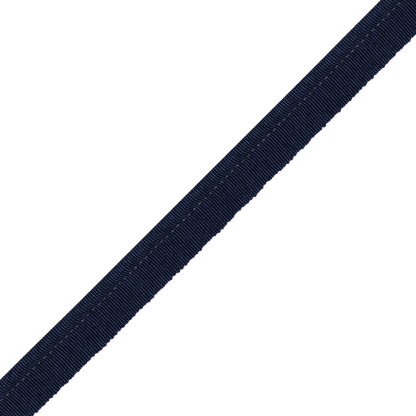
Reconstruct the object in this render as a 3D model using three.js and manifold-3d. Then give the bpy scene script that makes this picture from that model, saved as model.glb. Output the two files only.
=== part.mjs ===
// A cut length of piping trim: one ribbed ribbon folded lengthwise round a filler cord. The cord
// fills the bead along one edge, and the ribbon's two layers lie together as the sewing flange.
// Millimetres, +Z up. +X runs along the trim, the bead is on the +Y side and the woven edges are
// on the -Y side. The origin is at the middle of the base.
import * as THREE from 'three';
import { mergeVertices } from 'three/addons/utils/BufferGeometryUtils.js';
import Module from 'manifold-3d';

const wasm = await Module();
wasm.setup();

// Driving dimensions
const TRIM_LENGTH = 200;
const TRIM_WIDTH = 16; // from the bead's outer side to the woven edges
const BEAD_DIAMETER = 4.8;
const STITCH_FROM_BEAD = 5.08; // from the bead's outer side to the row of stitches
const RIBBON_THICKNESS = 1; // over the ribs
const LAYER_GAP = 0.3;
const CORD_CLEARANCE = 0.3;

// The weave's relief
const RIB_COUNT = 236;
const RIB_DEPTH = 0.2;
const SCALLOP_DEPTH = 0.4; // each turn of the weft at a woven edge covers two ribs
const LOWER_EDGE_SETBACK = 0.15; // the lower layer's edge lies this far inside the upper one's

// How the trim lies
const BEAD_FLAT_DEPTH = 0.1; // how far the bead is pressed flat where it rests
const FLANGE_FLAT_WIDTH = 5; // how much of the flange lies on the surface
const FLANGE_RISE = 0.95; // how much higher the flange lies beside the stitches than at its edge
const SHOULDER_FROM_STITCH = 0.82; // where that rise ends
const STITCH_DIP = 0.12; // how far the stitches draw the layers together

// How far a rib is drawn along the trim on its way from the bead to the flange
const RIB_LEAN = 0.98;
const LEAN_MIDDLE = 4.35; // from the bead's outer side, where the ribs slant most
const LEAN_SPREAD = 0.55;
const LEAN_RETURN = 0.023; // the slope by which they come back towards the woven edge
const LEAN_RETURN_FROM = 7;

// The slight sideways bow in which the trim lies: a place along it, and its shift towards +Y
const BOW = [
  { x: -110, shift: 0.47 },
  { x: -80, shift: 0.28 },
  { x: -50, shift: 0.02 },
  { x: 0, shift: 0 },
  { x: 50, shift: -0.06 },
  { x: 80, shift: 0.07 },
  { x: 110, shift: 0.26 },
];

// Where the section's lines lie round the bead, in degrees from +Y towards +Z
const RIBBED_BEAD_ANGLES = [142, 94, 47, 0, -37];
const SMOOTH_BEAD_ANGLES = [-125, -145];
const BORE_MOUTH = 10; // half of the angle at which the bore opens between the layers
const BORE_LINES = 8;
const CORD_SIDES = 12;

// Points along a line are counted in half ribs: even ones lie in a furrow and odd ones on a crest
const SPARE_RIBS = 2; // woven past each end before the length is cut
const CUT_SHARE = 0.5; // the cut falls between two points, on the flank of a rib
const FINE_STEP = 1;
const RIB_STEP = 2;
const COARSE_STEP = 16;

const halfRib = TRIM_LENGTH / RIB_COUNT / 2;
const stationCount = 2 * (RIB_COUNT + 2 * SPARE_RIBS);
const beadSide = TRIM_WIDTH / 2;
const edgeSide = -TRIM_WIDTH / 2;
const beadRadius = BEAD_DIAMETER / 2;
const beadY = beadSide - beadRadius;
const beadZ = beadRadius - BEAD_FLAT_DEPTH;
const boreRadius = beadRadius - RIBBON_THICKNESS;
const cordRadius = boreRadius - CORD_CLEARANCE;
const stitchY = beadSide - STITCH_FROM_BEAD;
const shoulderY = stitchY - SHOULDER_FROM_STITCH;
const flatEndY = edgeSide + FLANGE_FLAT_WIDTH;
const radians = THREE.MathUtils.degToRad;

// The sideways shift of the trim at a place along it, eased between the rows of the table.
function bowAt(x) {
  const next = BOW.findIndex((row) => row.x >= x);
  const [before, after] = [BOW[next - 1], BOW[next]];
  const share = THREE.MathUtils.smoothstep(x, before.x, after.x);
  return THREE.MathUtils.lerp(before.shift, after.shift, share);
}

// How far the ribs are drawn along the trim, at a distance from the bead's outer side.
function leanAt(fromBead) {
  const swing = RIB_LEAN / (1 + Math.exp((LEAN_MIDDLE - fromBead) / LEAN_SPREAD));
  return swing - LEAN_RETURN * Math.max(0, fromBead - LEAN_RETURN_FROM);
}

// How far a woven edge lies inside its outermost line at a station. A turn of the weft spans four
// stations, with its tip in the middle, and no two turns are quite alike.
function scallopAt(station) {
  const turn = Math.floor(station / 4);
  const unevenness = 0.8 + 0.2 * Math.sin(2.1 * turn) * Math.cos(0.37 * turn);
  const shares = [1, 0.3, 0, 0.3];
  return SCALLOP_DEPTH * unevenness * shares[station % 4];
}

// A line of the section that runs along the trim. It lies at y and z; depth is its relief in the
// furrows, sunk against its outward direction; lean draws it along the trim; inset is its scallop.
function sectionLine(y, z, options = {}) {
  const line = { y, z, step: COARSE_STEP, depth: 0, outY: 0, outZ: 1, lean: 0, inset: () => 0 };
  return Object.assign(line, options);
}

function ribbedLine(y, z, outAngle = 90) {
  return sectionLine(y, z, {
    step: FINE_STEP,
    depth: RIB_DEPTH,
    outY: Math.cos(radians(outAngle)),
    outZ: Math.sin(radians(outAngle)),
    lean: leanAt(beadSide - y),
  });
}

// Lines on a circle round the bead's middle, at the angles given.
function circleLines(angles, radius, makeLine = sectionLine) {
  return angles.map((angle) => {
    const y = beadY + radius * Math.cos(radians(angle));
    const z = beadZ + radius * Math.sin(radians(angle));
    return makeLine(y, z, makeLine === ribbedLine ? angle : {});
  });
}

function pointAt(line, station) {
  const onFurrow = station % 2 === 0;
  const sink = onFurrow ? line.depth : 0;
  const x = (station - 2 * SPARE_RIBS - CUT_SHARE) * halfRib - TRIM_LENGTH / 2 + line.lean;
  const y = line.y + bowAt(x) + line.inset(station) - sink * line.outY;
  return [x, y, line.z - sink * line.outZ];
}

// Triangles between two neighbouring lines, whatever the spacing of their points.
function joinLines(a, b) {
  const triangles = [];
  let i = 0;
  let j = 0;
  while (i < a.stations.length - 1 || j < b.stations.length - 1) {
    const middleOfA = (a.stations[i] + a.stations[i + 1]) / 2;
    const middleOfB = (b.stations[j] + b.stations[j + 1]) / 2;
    const bIsDone = j === b.stations.length - 1;
    if (bIsDone || middleOfA <= middleOfB) {
      triangles.push(a.first + i, a.first + i + 1, b.first + j);
      i += 1;
    } else {
      triangles.push(a.first + i, b.first + j + 1, b.first + j);
      j += 1;
    }
  }
  return triangles;
}

// Triangles across the section at an end. The start faces -X and the other end faces +X.
function endTriangles(lines, atStart) {
  const outline = lines.map((line) => new THREE.Vector2(line.y, line.z));
  const triangles = THREE.ShapeUtils.triangulateShape(outline, []);
  return triangles.flatMap((corners) => {
    const [p, q, r] = corners.map((k) => outline[k]);
    const facesForward = q.clone().sub(p).cross(r.clone().sub(p)) > 0;
    const turned = facesForward === atStart ? [...corners].reverse() : corners;
    return turned.map((k) => lines[k].first + (atStart ? 0 : lines[k].stations.length - 1));
  });
}

// One closed body from the lines of its section, in order round it.
function bodyFromLines(lines) {
  const positions = [];
  for (const line of lines) {
    const count = stationCount / line.step + 1;
    line.stations = Array.from({ length: count }, (_, k) => k * line.step);
    line.first = positions.length / 3;
    for (const station of line.stations) positions.push(...pointAt(line, station));
  }
  const triangles = lines.flatMap((line, k) => joinLines(line, lines[(k + 1) % lines.length]));
  triangles.push(...endTriangles(lines, true), ...endTriangles(lines, false));
  const geometry = new THREE.BufferGeometry();
  geometry.setAttribute('position', new THREE.Float32BufferAttribute(positions, 3));
  geometry.setIndex(triangles);
  return geometry;
}

function toSolid(geometry) {
  const bare = geometry.clone();
  bare.deleteAttribute('normal');
  bare.deleteAttribute('uv');
  const merged = mergeVertices(bare);
  const vertProperties = merged.attributes.position.array;
  const triVerts = new Uint32Array(merged.index.array);
  return new wasm.Manifold(new wasm.Mesh({ numProp: 3, vertProperties, triVerts }));
}

// The body with both ends cut square to the trim's length.
function cutToLength(geometry) {
  const reach = 4 * TRIM_WIDTH;
  const between = new THREE.BoxGeometry(TRIM_LENGTH, reach, reach);
  const cut = toSolid(geometry).intersect(toSolid(between)).getMesh();
  const result = new THREE.BufferGeometry();
  result.setAttribute('position', new THREE.BufferAttribute(cut.vertProperties, 3));
  result.setIndex(new THREE.BufferAttribute(cut.triVerts, 1));
  result.computeVertexNormals();
  return result;
}

// The section goes over the upper layer and the bead, back under them to the lower layer's woven
// edge, and inside again: along the lower layer, round the bore and along the upper layer.
function makeRibbon() {
  const flangeHeight = 2 * RIBBON_THICKNESS + LAYER_GAP;
  const flatHalfWidth = Math.sqrt(beadRadius ** 2 - beadZ ** 2);
  const upperInside = RIBBON_THICKNESS + LAYER_GAP;
  const upperEdge = { lean: leanAt(TRIM_WIDTH), inset: scallopAt };
  const lowerEdge = { step: RIB_STEP, inset: (station) => scallopAt(station + 2) };
  const lowerEdgeY = edgeSide + LOWER_EDGE_SETBACK;

  const over = [
    { ...ribbedLine(edgeSide, flangeHeight), ...upperEdge },
    ribbedLine(flatEndY, flangeHeight),
    ribbedLine(shoulderY, flangeHeight + FLANGE_RISE),
    ribbedLine(stitchY, flangeHeight + FLANGE_RISE - STITCH_DIP),
    ...circleLines(RIBBED_BEAD_ANGLES, beadRadius, ribbedLine),
  ];
  const under = [
    sectionLine(beadY + flatHalfWidth, 0),
    sectionLine(beadY - flatHalfWidth, 0),
    ...circleLines(SMOOTH_BEAD_ANGLES, beadRadius),
    sectionLine(stitchY, FLANGE_RISE + STITCH_DIP),
    sectionLine(shoulderY, FLANGE_RISE),
    sectionLine(flatEndY, 0),
    sectionLine(lowerEdgeY, 0, lowerEdge),
  ];
  const boreAngles = Array.from({ length: BORE_LINES }, (_, k) => {
    const turn = 360 - 2 * BORE_MOUTH;
    return 180 + BORE_MOUTH + (turn * k) / (BORE_LINES - 1);
  });
  const boreStep = radians(boreAngles[1] - boreAngles[0]);
  const inside = [
    sectionLine(lowerEdgeY, RIBBON_THICKNESS, lowerEdge),
    sectionLine(flatEndY, RIBBON_THICKNESS),
    sectionLine(shoulderY, RIBBON_THICKNESS + FLANGE_RISE),
    ...circleLines(boreAngles, boreRadius / Math.cos(boreStep / 2)),
    sectionLine(shoulderY, upperInside + FLANGE_RISE),
    sectionLine(flatEndY, upperInside),
    sectionLine(edgeSide, upperInside, { ...upperEdge, step: RIB_STEP }),
  ];
  return cutToLength(bodyFromLines([...over, ...under, ...inside]));
}

function makeFillerCord() {
  const angles = Array.from({ length: CORD_SIDES }, (_, k) => (-360 * k) / CORD_SIDES);
  return cutToLength(bodyFromLines(circleLines(angles, cordRadius)));
}

const grosgrain = new THREE.MeshStandardMaterial({ color: 0x232c48, roughness: 0.75, metalness: 0 });
const cotton = new THREE.MeshStandardMaterial({ color: 0xcfc8b8, roughness: 0.95, metalness: 0 });

const ribbon = new THREE.Mesh(makeRibbon(), grosgrain);
ribbon.name = 'ribbon';
const fillerCord = new THREE.Mesh(makeFillerCord(), cotton);
fillerCord.name = 'filler_cord';

const trim = new THREE.Group();
trim.add(ribbon, fillerCord);
const outline = new THREE.Box3().setFromObject(trim);
trim.position.y = -(outline.min.y + outline.max.y) / 2;

export default trim;
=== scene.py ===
"""The looks of a cut length of piping trim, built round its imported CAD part.

One ribbed ribbon is folded lengthwise round a filler cord and stitched beside it, which leaves a
flat flange of two layers. The file is laid out as an add-on: property groups hold the sizes and
colours, an operator makes each piece, and a panel lists them. Lengths are in metres, +X runs along
the trim, the bead is on the +Y side and the woven edges are on the -Y side.
"""

import math
from functools import partial

import bmesh
import bpy
from mathutils import Euler, Matrix, Vector


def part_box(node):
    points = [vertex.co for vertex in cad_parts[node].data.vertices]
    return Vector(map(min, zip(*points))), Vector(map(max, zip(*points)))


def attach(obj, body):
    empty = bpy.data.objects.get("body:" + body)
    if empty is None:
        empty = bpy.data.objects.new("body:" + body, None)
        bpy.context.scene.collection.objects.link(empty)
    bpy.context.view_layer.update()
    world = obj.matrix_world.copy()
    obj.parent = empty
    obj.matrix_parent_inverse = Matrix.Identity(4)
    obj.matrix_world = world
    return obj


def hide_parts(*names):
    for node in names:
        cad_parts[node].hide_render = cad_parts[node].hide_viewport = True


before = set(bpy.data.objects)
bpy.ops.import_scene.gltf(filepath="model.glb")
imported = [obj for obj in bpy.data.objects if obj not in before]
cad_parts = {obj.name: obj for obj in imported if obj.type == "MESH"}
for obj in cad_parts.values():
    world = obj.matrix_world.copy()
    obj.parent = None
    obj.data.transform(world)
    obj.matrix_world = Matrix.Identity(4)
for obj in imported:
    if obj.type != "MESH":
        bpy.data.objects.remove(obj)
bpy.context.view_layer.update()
ribbon_low, ribbon_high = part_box("ribbon")

bl_info = {
    "name": "Piping trim",
    "version": (1, 0, 0),
    "blender": (4, 5, 0),
    "location": "View3D > Sidebar > Piping trim",
    "description": "Makes a length of ribbed piping trim, its stitches and its filler cord",
    "category": "Object",
}

MM = 0.001
MATH = "ShaderNodeMath"

# The sideways bow in which the trim lies: a place along it, and its shift towards +Y, in mm
BOW = [(-110, 0.47), (-80, 0.28), (-50, 0.02), (0, 0), (50, -0.06), (80, 0.07), (110, 0.26)]

# The beating's slow drift: a place along the trim, and the ribs' shift from even spacing, in mm
RIB_DRIFT = [(-110, -0.2), (-85, -0.1), (-72, 0.12), (-59, 0.43), (-46, 0.53), (-33, 0.47)]
RIB_DRIFT += [(-13, 0.47), (0, 0.34), (7, 0.18), (18, 0.07), (30, 0.09), (46, 0.03), (59, 0.12)]
RIB_DRIFT += [(72, 0.16), (110, 0.2)]

# The sewing machine's uneven feed: a place along the trim, and the stitches' shift there, in mm
FEED_DRIFT = [(-110, -0.3), (-76, -0.4), (-66, -0.15), (-58, -0.22), (-44, 0.27), (-32, -0.17)]
FEED_DRIFT += [(-20, -0.32), (-3, 0.19), (17, 0.52), (33, 0.28), (42, -0.1), (56, -0.33)]
FEED_DRIFT += [(64, -0.1), (76, -0.5), (110, -0.4)]

# The ribs' slant, in mm from the bead's outer side: where it is steepest and over how far it
# spreads, the share by which the stitches hold it back, where and how far round them, and the
# slope by which the ribs come back towards the woven edges. The slant grows along the trim, by
# this share of itself in each metre.
LEAN_MIDDLE = 4.45
LEAN_SPREAD = 0.53
LEAN_HELD = 0.06
LEAN_HELD_MIDDLE = 5.9
LEAN_HELD_SPREAD = 1.3
LEAN_RETURN = 0.023
LEAN_RETURN_FROM = 7
LEAN_GROWTH = 1.15

# The ribbon's section by the stitches, in mm: the groove on the bead's side of the row and the
# shoulder on its other side, how much lower than the shoulder the upper layer is at the row and
# in the groove, and how much higher than the shoulder the lower layer is there
GROOVE = 0.33
SHOULDER = 0.82
SUNK_AT_ROW = 0.13
SUNK_IN_GROOVE = 0.2
RAISED_AT_ROW = 0.14
RAISED_IN_GROOVE = 0.22

# The section's other points. A woven edge is rounded over this share of the thickness, and past
# that the upper layer has two more points, in mm, where the scallops bend. By the end of the flat,
# in mm from it, the upper layer is first level and then risen by a share of the rise, and the
# lower layer has two more points on the flat.
EDGE_ROUNDING = 0.4
EDGE_POINTS = (0.38, 0.9)
LEVEL_AT = -0.6
RISEN_AT = 0.8
RISEN_SHARE = 0.12
FLAT_POINTS = (-1.6, -3.2)

# The ends of the section's round stretches, in degrees from +Y towards +Z. The bead meets the
# layers at the same angle above and below, and the bore is open this far above and below the
# place where the layers part.
BEAD_MEETS_LAYERS = 154
BEAD_SIDE_END = -38
BEAD_UNDER_START = -56
BORE_OPENS = 10

# How the weave lies across the section, in mm: the tuck where the slope meets the stitches, the
# reach of their pull and of the weft's turns, the power by which the turns fade over it, and where
# and how far a painted highlight lies over the bead, on its outer and on its inner side. The woven
# edges get a painted highlight too, and the slope under the bead painted shade, by these shares of
# that.
TUCK_FROM_ROW = 0.73
TUCK_REACH = 0.4
PULL_REACH = 0.42
TURN_REACH = 1.1
TURN_FADE = 3
HIGHLIGHT_FROM_BEAD = 0.4
HIGHLIGHT_REACH_OUTER = 1.7
HIGHLIGHT_REACH_INNER = 1.2
EDGE_HIGHLIGHT = 0.5
EDGE_HIGHLIGHT_REACH = 1.6
SLOPE_SHADE = 0.25
SLOPE_FROM_ROW = 1.45
SLOPE_REACH = 0.6

# The share of the ribs' relief that is lost down the bead's outer side, and in the tuck
RELIEF_LOST_OUTSIDE = 0.85
RELIEF_LOST_IN_TUCK = 0.5

# The weave's attributes and the painted light, which go from the section to the woven ribbon
WEAVE_MARKS = ("lean", "relief", "sewn", "edge", "turn", "taut", "tucked", "across")

# Uneven weaving: how fast it changes, per rib and per metre along a rib, how fast the woven edges
# wander, per rib, how far the ribs stray, and how far the stitches bunch them
BEAT_PER_RIB = 0.3
BEAT_ALONG_RIB = 250
WANDER_PER_RIB = 0.11
BEAT_REACH = 0.45 * MM
BUNCH_REACH = 0.14 * MM

# How far in the weft's turns end, as shares of the scallop's depth: at rest, and what loose turns
# and the edge's wander add at most
TURN_INSET = 0.3
LOOSE_TURN = 0.58
EDGE_WANDER = 1.0
TURN_SEED = 11  # for the upper layer's loose turns, and the next for the lower layer's
STITCH_SEED = 20  # for the upper row of stitches, and the next for the lower row

NUDGE = 0.0001  # of a rib, so that a place on a furrow counts as the next rib's start
SAME_PLACE = 0.0001 * MM  # points of the ribbon that are nearer than this are joined
PRESSED_BETWEEN = 0.2  # how deep cloth is pressed between needle holes, as a share of their depth
STITCH_SITS = 0.06 * MM  # how far the threads stand clear of the cloth under them
STITCH_REACH = 0.64  # the visible part of a stitch, as a share of its length
SPARE_RIBS = 3  # woven past each end before the length is cut
POINTS_PER_RIB = 5
PATH_STEPS = 240
CORD_STEPS = 320
STRAND_SHARE = 0.48  # a strand's radius, as a share of the cord's
STRAND_SIDES = 10

# The photograph's frame is this wide at the trim, and its middle lies this far from the trim's
FRAME_WIDTH = 136.4 * MM
FRAME_MIDDLE_Y = -0.3 * MM


def linear(hex_colour):
    """An sRGB hex colour as the linear red, green, blue and alpha that Blender works in."""
    shares = [int(hex_colour[k : k + 2], 16) / 255 for k in (1, 3, 5)]
    return [s / 12.92 if s <= 0.04045 else ((s + 0.055) / 1.055) ** 2.4 for s in shares] + [1.0]


def length_property(name, description, default):
    """A size that the user can change, shown in the scene's own unit of length."""
    return bpy.props.FloatProperty(
        name=name, description=description, default=default, min=0.0, unit="LENGTH", precision=5
    )


def colour_property(name, description, hex_colour):
    """A colour that the user can change, given as sRGB hex."""
    return bpy.props.FloatVectorProperty(
        name=name,
        description=description,
        default=linear(hex_colour),
        size=4,
        min=0.0,
        max=1.0,
        subtype="COLOR",
    )


class TrimSizes(bpy.types.PropertyGroup):
    """The trim's section, and the places of the bead and the sewing in it."""

    length: length_property("Length", "Cut length of the trim", ribbon_high.x - ribbon_low.x)
    width: length_property("Width", "From the bead's outer side to the woven edges", 16 * MM)
    bead_diameter: length_property("Bead diameter", "The bead over its ribs", 4.8 * MM)
    bead_flat: length_property("Bead flat", "How far the bead is pressed flat below", 0.1 * MM)
    thickness: length_property("Ribbon thickness", "One layer of ribbon over its ribs", 1 * MM)
    layer_gap: length_property("Layer gap", "Between the flange's two layers", 0.3 * MM)
    edge_setback: length_property("Edge setback", "Lower woven edge inside the upper", 0.15 * MM)
    flat_width: length_property("Flat width", "How much of the flange lies flat", 5 * MM)
    rise: length_property("Rise", "How much the flange rises towards the stitches", 0.95 * MM)


class WeaveSettings(bpy.types.PropertyGroup):
    """The ribbon's weave."""

    rib_count: bpy.props.IntProperty(
        name="Ribs", description="Ribs in the cut length", default=236, min=1
    )
    rib_depth: length_property("Rib depth", "Depth of the furrows between ribs", 0.3 * MM)
    lean: length_property("Lean", "How far the ribs are drawn along the trim", 1.22 * MM)
    scallop: length_property("Scallop", "Depth of the weft's turns at a woven edge", 0.66 * MM)
    # Really about 0.14 mm, which is too fine for the render, so drawn as coarse as it has to be
    warp_spacing: length_property("Warp spacing", "Between the yarns that cross a rib", 0.32 * MM)
    unevenness: bpy.props.FloatProperty(
        name="Unevenness", description="How far ribs stray from even", default=1.0, min=0.0
    )
    seed: bpy.props.IntProperty(name="Seed", description="Seed of the unevenness", default=7)


class SewingSettings(bpy.types.PropertyGroup):
    """The row of lockstitches beside the bead."""

    from_bead: length_property("Row", "From the bead's outer side to the stitches", 5.19 * MM)
    stitch_length: length_property("Stitch length", "From needle hole to needle hole", 2.441 * MM)
    first_hole: length_property("First hole", "From the trim's end to a needle hole", 2.49 * MM)
    thread: length_property("Thread", "Diameter of the sewing thread", 0.45 * MM)
    hole_depth: length_property("Hole depth", "How far the needle holes draw in", 0.3 * MM)
    jitter: length_property("Jitter", "How far a hole strays along the row", 0.14 * MM)


class CordSettings(bpy.types.PropertyGroup):
    """The filler cord in the bead."""

    radius: length_property("Radius", "The cord over its strands", 1.36 * MM)
    lay: length_property("Lay", "Length of one full twist", 9 * MM)
    strands: bpy.props.IntProperty(
        name="Strands", description="Strands twisted together", default=3, min=2, max=6
    )


class TrimColours(bpy.types.PropertyGroup):
    """The colours of cloth, thread and cord."""

    crest: colour_property("Crest", "Ribbon on the crest of a rib", "#222942")
    # Painted shade: the near-black that a deep furrow shows, used also between cut yarn ends
    furrow: colour_property("Furrow", "Ribbon deep between two ribs", "#010307")
    thread: colour_property("Thread", "Sewing thread", "#474c60")
    cotton: colour_property("Cotton", "Undyed filler cord", "#cfc8b8")


class PipingTrim(bpy.types.PropertyGroup):
    """All of the trim's settings."""

    sizes: bpy.props.PointerProperty(type=TrimSizes)
    weave: bpy.props.PointerProperty(type=WeaveSettings)
    sewing: bpy.props.PointerProperty(type=SewingSettings)
    cord: bpy.props.PointerProperty(type=CordSettings)
    colours: bpy.props.PointerProperty(type=TrimColours)


def add_node(tree, kind, inputs=(), **settings):
    """Adds a node with its settings, and returns its first output.

    The inputs are values or other nodes' outputs, by name, by number or in their own order.
    """
    node = tree.nodes.new(kind)
    for name, value in settings.items():
        setattr(node, name, value)
    given = inputs if isinstance(inputs, dict) else dict(enumerate(inputs))
    for key, value in given.items():
        socket = next(s for k, s in enumerate(node.inputs) if s.enabled and key in (k, s.name))
        if isinstance(value, bpy.types.NodeSocket):
            tree.links.new(value, socket)
        else:
            socket.default_value = value
    return next((s for s in node.outputs if s.enabled), None)


def new_tree(name, values):
    """A Geometry Nodes tree with an input for each value, of the kind that the value is.

    Returns the tree, what adds a node to it, and the sockets of its Group Input by name.
    """
    tree = bpy.data.node_groups.new(name, "GeometryNodeTree")
    for way in ("OUTPUT", "INPUT"):
        tree.interface.new_socket("Geometry", in_out=way, socket_type="NodeSocketGeometry")
    for label, value in values.items():
        kind = "NodeSocket" + type(value).__name__.capitalize()
        tree.interface.new_socket(label, in_out="INPUT", socket_type=kind)
    add = partial(add_node, tree)
    first = add("NodeGroupInput")
    return tree, add, {s.name: s for s in first.node.outputs if s.name}


def close_tree(add, geometry, material):
    """Ends a tree in real, smooth geometry with its material."""
    real = add("GeometryNodeRealizeInstances", {"Geometry": geometry})
    smooth = add("GeometryNodeSetShadeSmooth", {"Geometry": real})
    finished = add("GeometryNodeSetMaterial", {"Geometry": smooth, "Material": material})
    add("NodeGroupOutput", {"Geometry": finished})


def grow(source, tree, values):
    """Runs a tree on an object, and leaves its result as the object's own plain mesh."""
    modifier = source.modifiers.new(tree.name, "NODES")
    modifier.node_group = tree
    items = [i for i in tree.interface.items_tree if i.in_out == "INPUT"]
    identifiers = {i.name: i.identifier for i in items}
    for name, value in values.items():
        modifier[identifiers[name]] = value
    bpy.context.scene.collection.objects.link(source)
    ready = source.evaluated_get(bpy.context.evaluated_depsgraph_get())
    mesh = bpy.data.meshes.new_from_object(ready)
    if not mesh.polygons:
        raise RuntimeError(f"the tree {tree.name} made no faces")
    mesh.name = source.name
    source.modifiers.remove(modifier)
    source.data = mesh


def table_at(table, x):
    """A table's shift at a place along the trim, eased between its rows."""
    place = x / MM
    after = next(k for k, row in enumerate(table) if row[0] >= place)
    (x0, shift0), (x1, shift1) = table[after - 1], table[after]
    share = (place - x0) / (x1 - x0)
    share = share * share * (3 - 2 * share)
    return (shift0 + (shift1 - shift0) * share) * MM


def centring_shift(length):
    """How far the whole trim is moved sideways, so that its box is centred on the origin."""
    steps = 200
    shifts = [table_at(BOW, (k / steps - 0.5) * length) for k in range(steps + 1)]
    return -(min(shifts) + max(shifts)) / 2


def spare_length(settings):
    """What is woven past each end before the length is cut."""
    return SPARE_RIBS * settings.sizes.length / settings.weave.rib_count


def trim_path(settings):
    """The trim's line on the surface, a little longer than the trim, as a chain of edges."""
    half = settings.sizes.length / 2 + spare_length(settings)
    shift = centring_shift(settings.sizes.length)
    places = [half * (2 * k / PATH_STEPS - 1) for k in range(PATH_STEPS + 1)]
    points = [(x, table_at(BOW, x) + shift, 0) for x in places]
    mesh = bpy.data.meshes.new("trim_path")
    mesh.from_pydata(points, [(k, k + 1) for k in range(PATH_STEPS)], [])
    for name, table in {"drift": RIB_DRIFT, "feed": FEED_DRIFT}.items():
        attribute = mesh.attributes.new(name, "FLOAT", "POINT")
        attribute.data.foreach_set("value", [table_at(table, x) for x in places])
    return bpy.data.objects.new("trim_path", mesh)


def bell(distance, reach):
    """A share that is 1 at no distance, and fades smoothly on both sides over a reach."""
    return math.exp(-((distance / reach) ** 2))


def lean_share(from_bead):
    """The share of the ribs' full lean that they have at a distance in mm from the bead's side."""
    swing = 1 / (1 + math.exp((LEAN_MIDDLE - from_bead) / LEAN_SPREAD))
    held = LEAN_HELD * bell(from_bead - LEAN_HELD_MIDDLE, LEAN_HELD_SPREAD)
    return swing - held - LEAN_RETURN * max(0, from_bead - LEAN_RETURN_FROM)


def arc(middle, radii, start, end, steps):
    """Points on an ellipse from one angle to another, in degrees from +Y towards +Z."""
    angles = [math.radians(start + (end - start) * k / steps) for k in range(steps + 1)]
    return [
        (middle[0] + radii[0] * math.cos(a), middle[1] + radii[1] * math.sin(a)) for a in angles
    ]


def eased(points, steps):
    """A smooth line through points: each of steps cuts one stretch, by a Catmull-Rom spline."""
    ends = [points[0]] + points + [points[-1]]
    line = []
    for k, count in enumerate(steps):
        p, q, r, s = (Vector(ends[k + i]) for i in range(4))
        for i in range(count):
            t = i / count
            bend = (2 * p - 5 * q + 4 * r - s) * t * t + (3 * q - p - 3 * r + s) * t ** 3
            line.append(tuple((2 * q + (r - p) * t + bend) / 2))
    return line + [points[-1]]


def ribbon_section(sizes, sewing):
    """The folded ribbon's section as a closed loop of (y, z, face), in mm.

    It goes over the upper layer and the bead, back under them to the lower layer's woven edge, and
    inside again along the lower layer, round the bore and along the upper layer.
    """
    thick, gap, rise = sizes.thickness / MM, sizes.layer_gap / MM, sizes.rise / MM
    side = sizes.width / MM / 2
    radius = sizes.bead_diameter / MM / 2
    bead = (side - radius, radius - sizes.bead_flat / MM)
    stitch = side - sewing.from_bead / MM
    flat_end = sizes.flat_width / MM - side
    top = 2 * thick + gap
    lower_side = side - sizes.edge_setback / MM
    edge = (EDGE_ROUNDING * thick, thick / 2)
    groove, shoulder = stitch + GROOVE, stitch - SHOULDER
    bore = radius - thick
    pressed = round(math.degrees(math.acos(bead[1] / radius)), 1)

    over = arc((edge[0] - side, top - edge[1]), edge, 180, 90, 3)
    over += eased(
        [(edge[0] - side + place, top) for place in EDGE_POINTS]
        + [
            (flat_end + LEVEL_AT, top),
            (flat_end + RISEN_AT, top + RISEN_SHARE * rise),
            ((flat_end + shoulder) / 2, top + 0.5 * rise),
            (shoulder, top + rise),
            (stitch, top + rise - SUNK_AT_ROW),
            (groove, top + rise - SUNK_IN_GROOVE),
        ],
        [1, 3, 1, 2, 3, 3, 2],
    )
    over += arc(bead, (radius, radius), BEAD_MEETS_LAYERS, BEAD_SIDE_END, 16)
    under = arc(bead, (radius, radius), BEAD_UNDER_START, pressed - 90, 1)
    under += arc(bead, (radius, radius), -pressed - 90, -BEAD_MEETS_LAYERS, 3)
    under += eased(
        [
            (groove, rise + RAISED_IN_GROOVE),
            (stitch, rise + RAISED_AT_ROW),
            (shoulder, rise),
            ((flat_end + shoulder) / 2, 0.5 * rise),
            (flat_end, 0),
        ],
        [1, 2, 2, 2],
    )
    under += [(flat_end + place, 0) for place in FLAT_POINTS]
    under += arc((edge[0] - lower_side, edge[1]), edge, 270, 180, 3)
    inside = arc((edge[0] - lower_side, edge[1]), edge, 135, 90, 1)
    inside += [(flat_end, thick), (shoulder, thick + rise)]
    inside += arc(bead, (bore, bore), 180 + BORE_OPENS, 540 - BORE_OPENS, 9)
    inside += [(shoulder, thick + gap + rise), (flat_end, thick + gap)]
    inside += arc((edge[0] - side, top - edge[1]), edge, 270, 225, 1)
    faces = [(over, "over"), (under, "under"), (inside, "inside")]
    return [(y, z, face) for line, face in faces for y, z in line]


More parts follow.
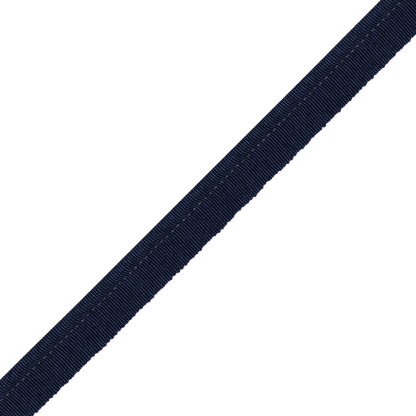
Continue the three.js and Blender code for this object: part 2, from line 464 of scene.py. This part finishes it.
def section_mesh(settings):
    """The ribbon's section as points, whose attributes hold how the weave lies and painted light.
    """
    sizes, sewing = settings.sizes, settings.sewing
    loop = ribbon_section(sizes, sewing)
    side = sizes.width / MM / 2
    radius = sizes.bead_diameter / MM / 2
    bead_y = side - radius
    stitch = side - sewing.from_bead / MM
    between_layers = (sizes.thickness + sizes.layer_gap / 2) / MM
    mesh = bpy.data.meshes.new("folded_ribbon")
    mesh.from_pydata([(0, y * MM, z * MM) for y, z, _ in loop], [], [])
    values = {name: [] for name in (*WEAVE_MARKS, "outward")}
    run = 0
    for k, (y, z, face) in enumerate(loop):
        (y0, z0, _), (y1, z1, _) = loop[k - 1], loop[(k + 1) % len(loop)]
        run += math.hypot(y - y0, z - z0) if k else 0
        woven = 0 if face == "inside" else 1
        lower = face == "under" or (face == "inside" and z < between_layers)
        from_edge = y + side - (sizes.edge_setback / MM if lower else 0)
        # Painted highlight over the bead, reaching farther down its outer side than its inner one
        from_crown = y - bead_y - HIGHLIGHT_FROM_BEAD
        highlight_reach = HIGHLIGHT_REACH_OUTER if from_crown > 0 else HIGHLIGHT_REACH_INNER
        tucked = woven * bell(y - stitch - TUCK_FROM_ROW, TUCK_REACH)
        down_outside = max(0, (y - bead_y) / radius)
        relief = 1 - RELIEF_LOST_OUTSIDE * down_outside - RELIEF_LOST_IN_TUCK * tucked
        values["lean"].append(lean_share(side - y))
        values["relief"].append(woven * relief)
        values["sewn"].append(woven * bell(y - stitch, PULL_REACH))
        values["edge"].append(max(0, 1 - from_edge / TURN_REACH) ** TURN_FADE)
        values["turn"].append(1 if lower else 0)
        # Painted highlight over the bead and at the woven edges, less painted shade under the bead
        taut = bell(from_crown, highlight_reach) + EDGE_HIGHLIGHT * bell(from_edge, EDGE_HIGHLIGHT_REACH)
        values["taut"].append(taut - SLOPE_SHADE * bell(y - stitch - SLOPE_FROM_ROW, SLOPE_REACH))
        values["tucked"].append(tucked)
        values["across"].append(run * MM)
        values["outward"].append(Vector((0, z0 - z1, y1 - y0)).normalized())
    for name in WEAVE_MARKS:
        attribute = mesh.attributes.new(name, "FLOAT", "POINT")
        attribute.data.foreach_set("value", values[name])
    attribute = mesh.attributes.new("outward", "FLOAT_VECTOR", "POINT")
    attribute.data.foreach_set("vector", [c for outward in values["outward"] for c in outward])
    return mesh


def ribbed_ribbon_tree(values):
    """The tree that weaves the ribbon: it repeats the section on the path and raises the ribs."""
    tree, add, given = new_tree("Ribbed ribbon", values)
    section = given["Geometry"]
    count = add("GeometryNodeAttributeDomainSize", {"Geometry": section})
    columns = add(MATH, (count, 1), operation="ADD")
    spare = add(MATH, (given["Spare ribs"], 2), operation="MULTIPLY")
    ribs = add(MATH, (given["Rib count"], spare), operation="ADD")
    rings = add(MATH, (ribs, given["Points per rib"], 1), operation="MULTIPLY_ADD")
    grid = add("GeometryNodeMeshGrid", {"Vertices X": rings, "Vertices Y": columns})
    index = add("GeometryNodeInputIndex")
    ring = add(MATH, (index, columns), operation="DIVIDE")
    ring = add(MATH, (ring,), operation="FLOOR")
    column = add(MATH, (index, columns), operation="MODULO")
    place = add(MATH, (column, count), operation="MODULO")

    # What the section's points carry, read at each point's own place in the section
    weave = {}
    for name in (*WEAVE_MARKS, "outward", "position"):
        kind = "FLOAT" if name in WEAVE_MARKS else "FLOAT_VECTOR"
        value = add("GeometryNodeInputNamedAttribute", {"Name": name}, data_type=kind)
        there = {"Geometry": section, "Value": value, "Index": place}
        weave[name] = add("GeometryNodeSampleIndex", there, data_type=kind)

    # The place along the ribs: whole numbers are furrows
    phase = add(MATH, (ring, given["Points per rib"]), operation="DIVIDE")
    phase = add(MATH, (phase, given["Spare ribs"]), operation="SUBTRACT")
    pitch = add(MATH, (given["Length"], given["Rib count"]), operation="DIVIDE")
    along = add(MATH, (phase, pitch), operation="MULTIPLY")

    # Uneven beating of the weft: ribs wider and narrower, changing slowly along each rib
    across = add(MATH, (weave["across"], BEAT_ALONG_RIB), operation="MULTIPLY")
    spot = add(MATH, (phase, BEAT_PER_RIB), operation="MULTIPLY")
    spot = add("ShaderNodeCombineXYZ", {"X": spot, "Y": across, "Z": given["Seed"]})
    beaten = add("ShaderNodeTexNoise", {"Vector": spot, "Scale": 1.0, "Detail": 2.0})
    beaten = add(MATH, (beaten, 0.5), operation="SUBTRACT")
    for share in (BEAT_REACH, given["Unevenness"]):
        beaten = add(MATH, (beaten, share), operation="MULTIPLY")

    # The trim's line, and the drift of ribs and stitches along it
    path = add("GeometryNodeObjectInfo", {"Object": given["Path"]})
    line = add("GeometryNodeMeshToCurve", {"Mesh": path.node.outputs["Geometry"]})
    share = add(MATH, (rings, 1), operation="SUBTRACT")
    share = add(MATH, (ring, share), operation="DIVIDE")
    on_path = {}
    for name in ("drift", "feed"):
        value = add("GeometryNodeInputNamedAttribute", {"Name": name})
        there = {"Curves": line, "Value": value, "Factor": share}
        on_path[name] = add("GeometryNodeSampleCurve", there)

    # The needle holes: how far a point is from the nearest, as a share of the stitch length
    holes = along
    for start in (given["First hole"], on_path["feed"]):
        holes = add(MATH, (holes, start), operation="SUBTRACT")
    holes = add(MATH, (holes, given["Stitch length"]), operation="DIVIDE")
    nearest = add(MATH, (holes,), operation="ROUND")
    draw = {"Min": -1.0, "Max": 1.0, "ID": nearest, "Seed": given["Seed"]}
    stray = add("FunctionNodeRandomValue", draw)
    stray = add(MATH, (stray, given["Hole jitter"]), operation="MULTIPLY")
    stray = add(MATH, (stray, given["Stitch length"]), operation="DIVIDE")
    from_hole = holes
    for part in (nearest, stray):
        from_hole = add(MATH, (from_hole, part), operation="SUBTRACT")
    turned = add(MATH, (from_hole, 2 * math.pi), operation="MULTIPLY")

    # The thread presses the cloth down, most at the holes, and draws the ribs towards them
    pull = add(MATH, (turned,), operation="COSINE")
    pull = add(MATH, (pull, 0.5, 0.5), operation="MULTIPLY_ADD")
    pull = add(MATH, (pull, 2.0), operation="POWER")
    pull = add(MATH, (pull, 1 - PRESSED_BETWEEN, PRESSED_BETWEEN), operation="MULTIPLY_ADD")
    for share in (weave["sewn"], given["Hole depth"]):
        pull = add(MATH, (pull, share), operation="MULTIPLY")
    bunched = add(MATH, (turned,), operation="SINE")
    for share in (BUNCH_REACH, weave["sewn"]):
        bunched = add(MATH, (bunched, share), operation="MULTIPLY")

    # A turn of the weft joins two ribs at a woven edge, and other ones below than above
    turns = add(MATH, (phase, weave["turn"]), operation="ADD")
    turns = add(MATH, (turns, 0.5), operation="MULTIPLY")

    # A rib is round on top and meets its neighbour in a sharp furrow, and so does a turn
    rounds = []
    for number in (phase, turns):
        within = add(MATH, (number, NUDGE), operation="ADD")
        within = add(MATH, (within,), operation="FRACT")
        rest = add(MATH, (1.0, within), operation="SUBTRACT")
        height = add(MATH, (within, rest), operation="MULTIPLY")
        height = add(MATH, (height, 0), operation="MAXIMUM")
        height = add(MATH, (height,), operation="SQRT")
        rounds.append(add(MATH, (height, 2), operation="MULTIPLY"))
    crest, bulge = rounds
    joined = add("ShaderNodeMix", {"Factor": weave["edge"], "A": crest, "B": bulge})

    # How far in each turn ends: some are loose, and the whole edge wanders
    turn_number = add(MATH, (turns, NUDGE), operation="ADD")
    turn_number = add(MATH, (turn_number,), operation="FLOOR")
    layer_seed = add(MATH, (weave["turn"], TURN_SEED), operation="ADD")
    loose = add("FunctionNodeRandomValue", {"ID": turn_number, "Seed": layer_seed})
    wander = add(MATH, (phase, WANDER_PER_RIB), operation="MULTIPLY")
    slow = {"W": wander, "Scale": 1.0, "Detail": 1.0}
    wander = add("ShaderNodeTexNoise", slow, noise_dimensions="1D")
    wander = add(MATH, (wander, 0.5), operation="SUBTRACT")
    inset = add(MATH, (TURN_INSET, bulge), operation="SUBTRACT")
    for part, share in ((loose, LOOSE_TURN), (wander, EDGE_WANDER)):
        inset = add(MATH, (part, share, inset), operation="MULTIPLY_ADD")
    for share in (weave["edge"], given["Scallop"]):
        inset = add(MATH, (inset, share), operation="MULTIPLY")

    # Each point goes to its place in the section, sunk below the crests and moved along the ribs
    sunk = add(MATH, (1.0, joined), operation="SUBTRACT")
    for share in (weave["relief"], given["Rib depth"]):
        sunk = add(MATH, (sunk, share), operation="MULTIPLY")
    sunk = add(MATH, (sunk, pull), operation="ADD")
    sunk = add(MATH, (sunk, -1.0), operation="MULTIPLY")
    sunk = add("ShaderNodeVectorMath", {0: weave["outward"], "Scale": sunk}, operation="SCALE")
    past_middle = add(MATH, (given["Length"], -0.5, along), operation="MULTIPLY_ADD")
    leaning = add(MATH, (past_middle, given["Lean growth"], 1.0), operation="MULTIPLY_ADD")
    for share in (weave["lean"], given["Lean"]):
        leaning = add(MATH, (leaning, share), operation="MULTIPLY")
    shift = beaten
    for part in (bunched, leaning, on_path["drift"]):
        shift = add(MATH, (shift, part), operation="ADD")
    moved = add("ShaderNodeCombineXYZ", {"X": shift, "Y": inset})
    spot = weave["position"]
    for step in (on_path["drift"].node.outputs["Position"], moved, sunk):
        spot = add("ShaderNodeVectorMath", (spot, step), operation="ADD")
    woven = add("GeometryNodeSetPosition", {"Geometry": grid, "Position": spot})

    # The marks that the cloth's material reads
    marks = {name: weave[name] for name in ("across", "taut", "tucked", "edge")}
    marks.update({"rib": phase, "crest": joined})
    for name, value in marks.items():
        stored = {"Geometry": woven, "Name": name, "Value": value}
        woven = add("GeometryNodeStoreNamedAttribute", stored)
    closed = add("GeometryNodeMergeByDistance", {"Geometry": woven, "Distance": SAME_PLACE})
    close_tree(add, closed, given["Material"])
    return tree


def cut_square(piece, half, material):
    """Cuts a piece square at both ends and closes it there with a material for the cut."""
    piece.data.materials.append(material)
    cut_slot = len(piece.data.materials) - 1
    shape = bmesh.new()
    shape.from_mesh(piece.data)
    for side in (-1, 1):
        everything = shape.verts[:] + shape.edges[:] + shape.faces[:]
        cut = bmesh.ops.bisect_plane(
            shape,
            geom=everything,
            plane_co=(side * half, 0, 0),
            plane_no=(side, 0, 0),
            clear_outer=True,
        )
        rim = [e for e in cut["geom_cut"] if isinstance(e, bmesh.types.BMEdge)]
        caps = bmesh.ops.edgeloop_fill(shape, edges=rim)
        for cap in caps["faces"]:
            cap.smooth = False
            cap.material_index = cut_slot
    bmesh.ops.recalc_face_normals(shape, faces=shape.faces)
    shape.to_mesh(piece.data)
    shape.free()


def new_material(name, marks=()):
    """A node material.

    Returns the material, what adds a node to it, its shader, and the mesh's marks by name.
    """
    material = bpy.data.materials.new(name)
    material.use_nodes = True
    add = partial(add_node, material.node_tree)
    carried = {}
    for mark in marks:
        value = add("ShaderNodeAttribute", attribute_name=mark)
        carried[mark] = value.node.outputs["Fac"]
    return material, add, material.node_tree.nodes["Principled BSDF"], carried


def finish_shader(add, shader, colour, shade, height, bump_depth, strength=1.0):
    """Links a shader's shaded colour and its bump, whose depth is the real one in metres."""
    shaded = add("ShaderNodeVectorMath", {0: colour, "Scale": shade}, operation="SCALE")
    raised = {"Height": height, "Distance": bump_depth, "Strength": strength}
    links = shader.id_data.links
    links.new(shaded, shader.inputs["Base Color"])
    links.new(add("ShaderNodeBump", raised), shader.inputs["Normal"])


def yarn_round(add, number):
    """The round of yarns side by side over a running number: 0 where they meet, 1 on top."""
    for operation, more in (("MULTIPLY", [math.pi]), ("SINE", []), ("ABSOLUTE", [])):
        number = add(MATH, (number, *more), operation=operation)
    return number


def grosgrain_material(colours, weave):
    """Woven grosgrain of filament yarn in a navy dye.

    Fine warp yarns lie over the thick weft, so each rib has a soft crest crossed by the yarns,
    and the furrow where they dive between two wefts is painted almost black as shade.
    """
    material, add, shader, mark = new_material(
        "woven_navy_grosgrain", ("rib", "across", "crest", "taut", "tucked", "edge")
    )

    # Neighbouring ribs show alternate warp yarns
    number = add(MATH, (mark["rib"],), operation="FLOOR")
    yarn = add(MATH, (mark["across"], weave.warp_spacing), operation="DIVIDE")
    yarn = add(MATH, (number, 0.5, yarn), operation="MULTIPLY_ADD")
    wave = yarn_round(add, yarn)
    each_rib = add("ShaderNodeTexWhiteNoise", {"W": number}, noise_dimensions="1D")
    yarn_number = add(MATH, (yarn,), operation="FLOOR")
    spot = add("ShaderNodeCombineXYZ", {"X": number, "Y": yarn_number})
    each_float = add("ShaderNodeTexWhiteNoise", {"Vector": spot}, noise_dimensions="2D")

    # Painted shade: light reaches the crests and hardly the furrows; the tuck is an even shade,
    # and the turns of the weft are shaded round their own crests
    crest_sharpness, tuck_evenness, tuck_shade = 4.8, 0.6, 0.42
    arch = add(MATH, (mark["rib"],), operation="FRACT")
    arch = add(MATH, (yarn_round(add, arch), crest_sharpness), operation="POWER")
    hidden = add(MATH, (mark["tucked"], tuck_evenness), operation="MULTIPLY")
    arch = add("ShaderNodeMix", {"Factor": hidden, "A": arch, "B": tuck_shade})
    looped = add(MATH, (mark["crest"], 2.0), operation="POWER")
    turning = add(MATH, (mark["edge"], 2.0), operation="POWER")
    lit = add("ShaderNodeMix", {"Factor": turning, "A": arch, "B": looped})
    shade_blend = {"Factor": lit, "A": list(colours.furrow), "B": list(colours.crest)}
    dye_and_shade = add("ShaderNodeMix", shade_blend, data_type="RGBA")

    # Each rib and each float of a warp yarn differs a little at random, a float is painted paler
    # in its middle and darker at its sides, and the painted highlight and shade go on top
    least_light, rib_light, float_light = 0.46, 0.2, 0.95
    float_side, float_middle = 0.75, 0.35
    paler = 0.4
    light = add(MATH, (each_rib, rib_light, least_light), operation="MULTIPLY_ADD")
    light = add(MATH, (each_float, float_light, light), operation="MULTIPLY_ADD")
    for parts in ((wave, float_middle, float_side), (mark["taut"], paler, 1.0)):
        part = add(MATH, parts, operation="MULTIPLY_ADD")
        light = add(MATH, (light, part), operation="MULTIPLY")
    height = add(MATH, (wave, mark["crest"]), operation="MULTIPLY")
    yarn_relief = 0.06 * MM
    finish_shader(add, shader, dye_and_shade, light, height, yarn_relief, strength=0.8)
    shader.inputs["Roughness"].default_value = 0.6
    shader.inputs["Specular IOR Level"].default_value = 0.005
    return material


def cut_cloth_material(colours):
    """The cut edge of the ribbon: the ends of its fine warp yarns, blunt, matt and dark."""
    material, add, shader, _ = new_material("cut_ends_of_warp")
    place = add("ShaderNodeTexCoord").node.outputs["Object"]
    yarn_width, yarn_relief = 0.12 * MM, 0.05 * MM
    # Painted shade: each yarn end is paler in its middle and near-black where it meets the next
    middle, falls_by = 1.1, 0.9
    ends = add("ShaderNodeTexVoronoi", {"Vector": place, "Scale": 1 / yarn_width})
    shade = add(MATH, (ends, -falls_by, middle), operation="MULTIPLY_ADD")
    shade_blend = {"Factor": shade, "A": list(colours.furrow), "B": list(colours.crest)}
    dye_and_shade = add("ShaderNodeMix", shade_blend, data_type="RGBA")
    finish_shader(add, shader, dye_and_shade, 1.0, shade, yarn_relief)
    shader.inputs["Roughness"].default_value = 0.9
    shader.inputs["Specular IOR Level"].default_value = 0.02
    return material


def thread_material(colours):
    """Spun polyester sewing thread: three plies twisted, matt, with a paler blue-grey crest."""
    material, add, shader, mark = new_material(
        "twisted_polyester_thread", ("around", "along", "dive", "pale")
    )
    plies = 3
    ply_lay, ply_relief = 1.1 * MM, 0.05 * MM
    between_plies, crest_light = 0.57, 0.5
    sheltered = 0.8
    # Painted shade: each ply is paler on its crest and darker where it meets the next
    twist = add(MATH, (mark["along"], ply_lay), operation="DIVIDE")
    twist = add(MATH, (mark["around"], plies, twist), operation="MULTIPLY_ADD")
    wave = yarn_round(add, twist)
    shade = add(MATH, (wave, crest_light, between_plies), operation="MULTIPLY_ADD")

    # The ends that dive into the needle holes get painted shade, and each stitch its own at random
    open_air = add(MATH, (mark["dive"], -sheltered, 1.0), operation="MULTIPLY_ADD")
    for part in (open_air, mark["pale"]):
        shade = add(MATH, (shade, part), operation="MULTIPLY")
    finish_shader(add, shader, list(colours.thread)[:3], shade, wave, ply_relief)
    shader.inputs["Roughness"].default_value = 0.6
    shader.inputs["Specular IOR Level"].default_value = 0.05
    return material


def cotton_material(colours):
    """Undyed cotton strands: chalky and matt, with fine fibres that follow the twist."""
    material, add, shader, _ = new_material("undyed_cotton_cord")
    place = add("ShaderNodeTexCoord").node.outputs["Object"]
    fibre_width, fibre_relief = 0.12 * MM, 0.08 * MM
    drawn_out = 4.0
    between_fibres, fibre_light = 0.72, 0.5
    place = add("ShaderNodeMapping", {"Vector": place, "Scale": (1 / drawn_out, 1.0, 1.0)})
    fine = {"Vector": place, "Scale": 1 / fibre_width, "Detail": 2.0}
    fibres = add("ShaderNodeTexNoise", fine)
    shade = add(MATH, (fibres, fibre_light, between_fibres), operation="MULTIPLY_ADD")
    finish_shader(add, shader, list(colours.cotton)[:3], shade, fibres, fibre_relief)
    shader.inputs["Roughness"].default_value = 0.95
    shader.inputs["Sheen Weight"].default_value = 0.3
    return material


class PIPING_OT_ribbon(bpy.types.Operator):
    """Weave the ribbed ribbon, folded round the cord's place"""

    bl_idname = "piping.ribbon"
    bl_label = "Folded ribbon"

    def execute(self, context):
        settings = context.scene.piping_trim
        sizes, weave, sewing = settings.sizes, settings.weave, settings.sewing
        path = trim_path(settings)
        ribbon = bpy.data.objects.new("folded_ribbon", section_mesh(settings))
        values = {
            "Path": path,
            "Length": sizes.length,
            "Rib count": weave.rib_count,
            "Points per rib": POINTS_PER_RIB,
            "Spare ribs": SPARE_RIBS,
            "Rib depth": weave.rib_depth,
            "Lean": weave.lean,
            "Lean growth": LEAN_GROWTH,
            "Scallop": weave.scallop,
            "Stitch length": sewing.stitch_length,
            "First hole": sewing.first_hole,
            "Hole depth": sewing.hole_depth,
            "Hole jitter": sewing.jitter,
            "Unevenness": weave.unevenness,
            "Seed": weave.seed,
            "Material": grosgrain_material(settings.colours, weave),
        }
        grow(ribbon, ribbed_ribbon_tree(values), values)
        bpy.data.objects.remove(path)
        cut_square(ribbon, sizes.length / 2, cut_cloth_material(settings.colours))
        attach(ribbon, "root")
        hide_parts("ribbon")
        points = [Vector((y, z)) * MM for y, z, _ in ribbon_section(sizes, sewing)]
        return {"FINISHED"}


def stitch_mesh(thread, reach):
    """One stitch: a length of thread that lies over the ribs and dives at both ends."""
    rings, sides = 9, 6
    dive_depth, dive_curve = 1.1 * thread, 1.6
    end_thinning = 0.55
    mesh = bpy.data.meshes.new("stitch")
    points, faces, around, along, dive = [], [], [], [], []
    for i in range(rings):
        share = 2 * i / (rings - 1) - 1
        x = share * reach / 2
        sink = -dive_depth * abs(share) ** dive_curve
        radius = thread / 2 * (1 - end_thinning * share * share)
        for j in range(sides):
            angle = 2 * math.pi * j / sides
            points.append((x, radius * math.cos(angle), sink + radius * math.sin(angle)))
            around.append(j / sides)
            along.append(x)
            dive.append(share * share)
    for i in range(rings - 1):
        for j in range(sides):
            k = (j + 1) % sides
            faces.append((i * sides + j, i * sides + k, (i + 1) * sides + k, (i + 1) * sides + j))
    faces.append(tuple(range(sides)))
    faces.append(tuple(reversed(range((rings - 1) * sides, rings * sides))))
    mesh.from_pydata(points, [], faces)
    for name, values in {"around": around, "along": along, "dive": dive}.items():
        attribute = mesh.attributes.new(name, "FLOAT", "POINT")
        attribute.data.foreach_set("value", values)
    shape = bmesh.new()
    shape.from_mesh(mesh)
    bmesh.ops.recalc_face_normals(shape, faces=shape.faces)
    shape.to_mesh(mesh)
    shape.free()
    return mesh


def stitch_row_tree(values):
    """The tree that sews: a stitch between each two needle holes along the path."""
    tree, add, given = new_tree("Row of stitches", values)
    count = add(MATH, (given["Length"], given["First hole"]), operation="SUBTRACT")
    count = add(MATH, (count, given["Stitch length"]), operation="DIVIDE")
    count = add(MATH, (count,), operation="FLOOR")
    holders = add("GeometryNodePoints", {"Count": count})
    number = add("GeometryNodeInputIndex")

    # The stray of the needle holes at both ends of a stitch moves and stretches it
    strays = []
    for later in (0, 1):
        hole = add(MATH, (number, later), operation="ADD")
        draw = {"Min": -1.0, "Max": 1.0, "ID": hole, "Seed": given["Hole seed"]}
        stray = add("FunctionNodeRandomValue", draw)
        strays.append(add(MATH, (stray, given["Hole jitter"]), operation="MULTIPLY"))
    middle = add(MATH, strays, operation="ADD")
    middle = add(MATH, (middle, 0.5), operation="MULTIPLY")
    stretch = add(MATH, (strays[1], strays[0]), operation="SUBTRACT")
    stretch = add(MATH, (stretch, given["Stitch length"]), operation="DIVIDE")
    stretch = add(MATH, (stretch, 1.0), operation="ADD")

    # The place of a stitch's middle along the path, which the uneven feed shifts
    along = add(MATH, (number, 0.5), operation="ADD")
    along = add(MATH, (along, given["Stitch length"]), operation="MULTIPLY")
    for part in (middle, given["First hole"], given["Spare"]):
        along = add(MATH, (along, part), operation="ADD")
    whole = add(MATH, (given["Spare"], 2.0, given["Length"]), operation="MULTIPLY_ADD")
    line = add("GeometryNodeMeshToCurve", {"Mesh": given["Geometry"]})
    feed = add("GeometryNodeInputNamedAttribute", {"Name": "feed"})
    share = add(MATH, (along, whole), operation="DIVIDE")
    feed = add("GeometryNodeSampleCurve", {"Curves": line, "Value": feed, "Factor": share})
    along = add(MATH, (along, feed), operation="ADD")
    share = add(MATH, (along, whole), operation="DIVIDE")
    on_path = add("GeometryNodeSampleCurve", {"Curves": line, "Factor": share})

    # What differs from stitch to stitch, at least and at most: place, thickness, turn and shade
    off_place = Vector((0.04, 0.12, 0.03)) * MM
    swing = math.radians(4)
    turn = Vector((0, swing / 3, swing))
    draws = (
        ("FLOAT_VECTOR", -off_place, off_place),
        ("FLOAT", 0.85, 1.1),
        ("FLOAT_VECTOR", -turn, turn),
        ("FLOAT", 0.7, 1.2),
    )
    drawn = []
    for later, (kind, least, most) in enumerate(draws):
        seed = add(MATH, (given["Seed"], later), operation="ADD")
        draw = {"Min": least, "Max": most, "Seed": seed}
        drawn.append(add("FunctionNodeRandomValue", draw, data_type=kind))
    wobble, plump, turned, pale = drawn

    beside = add("ShaderNodeCombineXYZ", {"Y": given["Row"], "Z": given["Height"]})
    place = on_path.node.outputs["Position"]
    for step in (beside, wobble):
        place = add("ShaderNodeVectorMath", (place, step), operation="ADD")
    placed = add("GeometryNodeSetPosition", {"Geometry": holders, "Position": place})
    stored = {"Geometry": placed, "Name": "pale", "Value": pale}
    placed = add("GeometryNodeStoreNamedAttribute", stored)
    stitch = add("GeometryNodeObjectInfo", {"Object": given["Stitch"]})
    laid = {
        "Points": placed,
        "Instance": stitch.node.outputs["Geometry"],
        "Rotation": add("FunctionNodeEulerToRotation", {"Euler": turned}),
        "Scale": add("ShaderNodeCombineXYZ", {"X": stretch, "Y": plump, "Z": plump}),
    }
    close_tree(add, add("GeometryNodeInstanceOnPoints", laid), given["Material"])
    return tree


class PIPING_OT_stitches(bpy.types.Operator):
    """Sew the row of stitches beside the bead, above and below"""

    bl_idname = "piping.stitches"
    bl_label = "Rows of stitches"

    def execute(self, context):
        settings = context.scene.piping_trim
        sizes, sewing = settings.sizes, settings.sewing
        top = 2 * sizes.thickness + sizes.layer_gap + sizes.rise - SUNK_AT_ROW * MM + STITCH_SITS
        bottom = sizes.rise + RAISED_AT_ROW * MM - STITCH_SITS
        rows = {"needle_thread": (top, 1), "bobbin_thread": (bottom, -1)}
        one = stitch_mesh(sewing.thread, STITCH_REACH * sewing.stitch_length)
        stitch = bpy.data.objects.new("stitch", one)
        values = {
            "Stitch": stitch,
            "Length": sizes.length,
            "Spare": spare_length(settings),
            "Stitch length": sewing.stitch_length,
            "First hole": sewing.first_hole,
            "Hole jitter": sewing.jitter,
            "Row": sizes.width / 2 - sewing.from_bead,
            "Hole seed": settings.weave.seed,
            "Material": thread_material(settings.colours),
        }
        for row, (name, (height, up)) in enumerate(rows.items()):
            stitch.data.transform(Matrix.Scale(up, 4, (0, 0, 1)))
            if up < 0:
                stitch.data.flip_normals()
            piece = trim_path(settings)
            piece.name = name
            values.update({"Height": height, "Seed": STITCH_SEED + row})
            grow(piece, stitch_row_tree(values), values)
            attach(piece, "root")
        bpy.data.objects.remove(stitch)
        return {"FINISHED"}


def twisted_cord_tree(values):
    """The tree that lays the cord: strands wound round each other along the path."""
    tree, add, given = new_tree("Twisted cord", values)
    line = add("GeometryNodeMeshToCurve", {"Mesh": given["Geometry"]})
    even = add("GeometryNodeResampleCurve", {"Curve": line, "Count": given["Steps"]})
    copied = {"Geometry": even, "Amount": given["Strands"]}
    strands = add("GeometryNodeDuplicateElements", copied, domain="SPLINE")
    number = strands.node.outputs["Duplicate Index"]
    stored = {"Geometry": strands, "Name": "strand", "Value": number}
    carried = add("GeometryNodeStoreNamedAttribute", stored)
    own = add("GeometryNodeInputNamedAttribute", {"Name": "strand"})
    position = add("GeometryNodeInputPosition")
    apart = add("ShaderNodeSeparateXYZ", {"Vector": position})
    turns = add(MATH, (apart.node.outputs["X"], given["Lay"]), operation="DIVIDE")
    own_turn = add(MATH, (own, given["Strands"]), operation="DIVIDE")
    turns = add(MATH, (turns, own_turn), operation="ADD")
    angle = add(MATH, (turns, 2 * math.pi), operation="MULTIPLY")
    strand_radius = add(MATH, (given["Radius"], STRAND_SHARE), operation="MULTIPLY")
    wind = add(MATH, (given["Radius"], strand_radius), operation="SUBTRACT")
    offset = {}
    for axis, wave, middle in (("Y", "COSINE", given["Side"]), ("Z", "SINE", given["Height"])):
        part = add(MATH, (angle,), operation=wave)
        offset[axis] = add(MATH, (part, wind, middle), operation="MULTIPLY_ADD")
    offset = add("ShaderNodeCombineXYZ", offset)
    wound = add("GeometryNodeSetPosition", {"Geometry": carried, "Offset": offset})
    outline = {"Resolution": STRAND_SIDES, "Radius": strand_radius}
    ring = add("GeometryNodeCurvePrimitiveCircle", outline)
    laid = {"Curve": wound, "Profile Curve": ring, "Fill Caps": True}
    close_tree(add, add("GeometryNodeCurveToMesh", laid), given["Material"])
    return tree


class PIPING_OT_cord(bpy.types.Operator):
    """Lay the twisted filler cord in the bead"""

    bl_idname = "piping.cord"
    bl_label = "Filler cord"

    def execute(self, context):
        settings = context.scene.piping_trim
        sizes, cord = settings.sizes, settings.cord
        cotton = cotton_material(settings.colours)
        piece = trim_path(settings)
        piece.name = "twisted_filler"
        values = {
            "Strands": cord.strands,
            "Radius": cord.radius,
            "Lay": cord.lay,
            "Side": sizes.width / 2 - sizes.bead_diameter / 2,
            "Height": sizes.bead_diameter / 2 - sizes.bead_flat,
            "Steps": CORD_STEPS,
            "Material": cotton,
        }
        grow(piece, twisted_cord_tree(values), values)
        cut_square(piece, sizes.length / 2, cotton)
        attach(piece, "root")
        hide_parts("filler_cord")
        return {"FINISHED"}


def soft_light(name, place, size, power):
    """A square of soft white light, turned to the trim, that the camera doesn't see."""
    lamp = bpy.data.lights.new(name, "AREA")
    lamp.shape = "SQUARE"
    lamp.size = size
    lamp.energy = power
    light = bpy.data.objects.new(name, lamp)
    light.location = place
    light.rotation_euler = (-Vector(place)).to_track_quat("-Z", "Y").to_euler()
    light.visible_camera = False
    bpy.context.scene.collection.objects.link(light)


class PIPING_OT_stage(bpy.types.Operator):
    """Set the pale floor, the soft light and the camera above the trim"""

    bl_idname = "piping.stage"
    bl_label = "Floor, light and camera"

    def execute(self, context):
        scene = context.scene
        scene.view_settings.view_transform = "Standard"
        scene.cycles.filter_width = 1.0
        material, _, shader, _ = new_material("matt_white_board")
        shader.inputs["Base Color"].default_value = linear("#f4f4f4")
        shader.inputs["Roughness"].default_value = 0.9
        half = 3.0
        corners = [(-half, -half, 0), (half, -half, 0), (half, half, 0), (-half, half, 0)]
        mesh = bpy.data.meshes.new("floor")
        mesh.from_pydata(corners, [], [(0, 1, 2, 3)])
        mesh.materials.append(material)
        floor = bpy.data.objects.new("floor", mesh)
        scene.collection.objects.link(floor)

        world = bpy.data.worlds.new("studio")
        world.use_nodes = True
        surround = world.node_tree.nodes["Background"]
        surround.inputs["Color"].default_value = (1, 1, 1, 1)
        surround.inputs["Strength"].default_value = 1.4
        scene.world = world
        soft_light("window_side", place=(0, 0.55, 0.8), size=0.6, power=4.5)
        soft_light("fill_side", place=(0, -0.7, 0.8), size=0.8, power=3.0)

        lens, sensor = 150, 36
        distance = FRAME_WIDTH * lens / sensor
        view = bpy.data.cameras.new("camera")
        view.lens = lens
        view.sensor_width = sensor
        view.clip_end = 10
        camera = bpy.data.objects.new("camera", view)
        camera.location = (0, FRAME_MIDDLE_Y, distance)
        camera.rotation_euler = Euler((0, 0, math.radians(-45)))
        scene.collection.objects.link(camera)
        scene.camera = camera
        return {"FINISHED"}


class PIPING_PT_panel(bpy.types.Panel):
    """The trim's settings, and a button for each piece."""

    bl_label = "Piping trim"
    bl_idname = "PIPING_PT_panel"
    bl_space_type = "VIEW_3D"
    bl_region_type = "UI"
    bl_category = "Piping trim"

    def draw(self, context):
        settings = context.scene.piping_trim
        for part in ("sizes", "weave", "sewing", "cord", "colours"):
            group = getattr(settings, part)
            box = self.layout.box()
            for name in group.bl_rna.properties.keys():
                if name not in ("rna_type", "name"):
                    box.prop(group, name)
        for operator in OPERATORS:
            self.layout.operator(operator.bl_idname)


GROUPS = (TrimSizes, WeaveSettings, SewingSettings, CordSettings, TrimColours, PipingTrim)
OPERATORS = (PIPING_OT_stage, PIPING_OT_ribbon, PIPING_OT_stitches, PIPING_OT_cord)
CLASSES = GROUPS + OPERATORS + (PIPING_PT_panel,)


def register():
    """Registers the settings, the operators and the panel."""
    for kind in CLASSES:
        bpy.utils.register_class(kind)
    bpy.types.Scene.piping_trim = bpy.props.PointerProperty(type=PipingTrim)


def unregister():
    """Takes out everything that register() put in."""
    del bpy.types.Scene.piping_trim
    for kind in reversed(CLASSES):
        bpy.utils.unregister_class(kind)


def main():
    """Makes every piece and the stage."""
    register()
    bpy.ops.piping.stage()
    bpy.ops.piping.ribbon()
    bpy.ops.piping.stitches()
    bpy.ops.piping.cord()


if __name__ == "__main__":
    main()
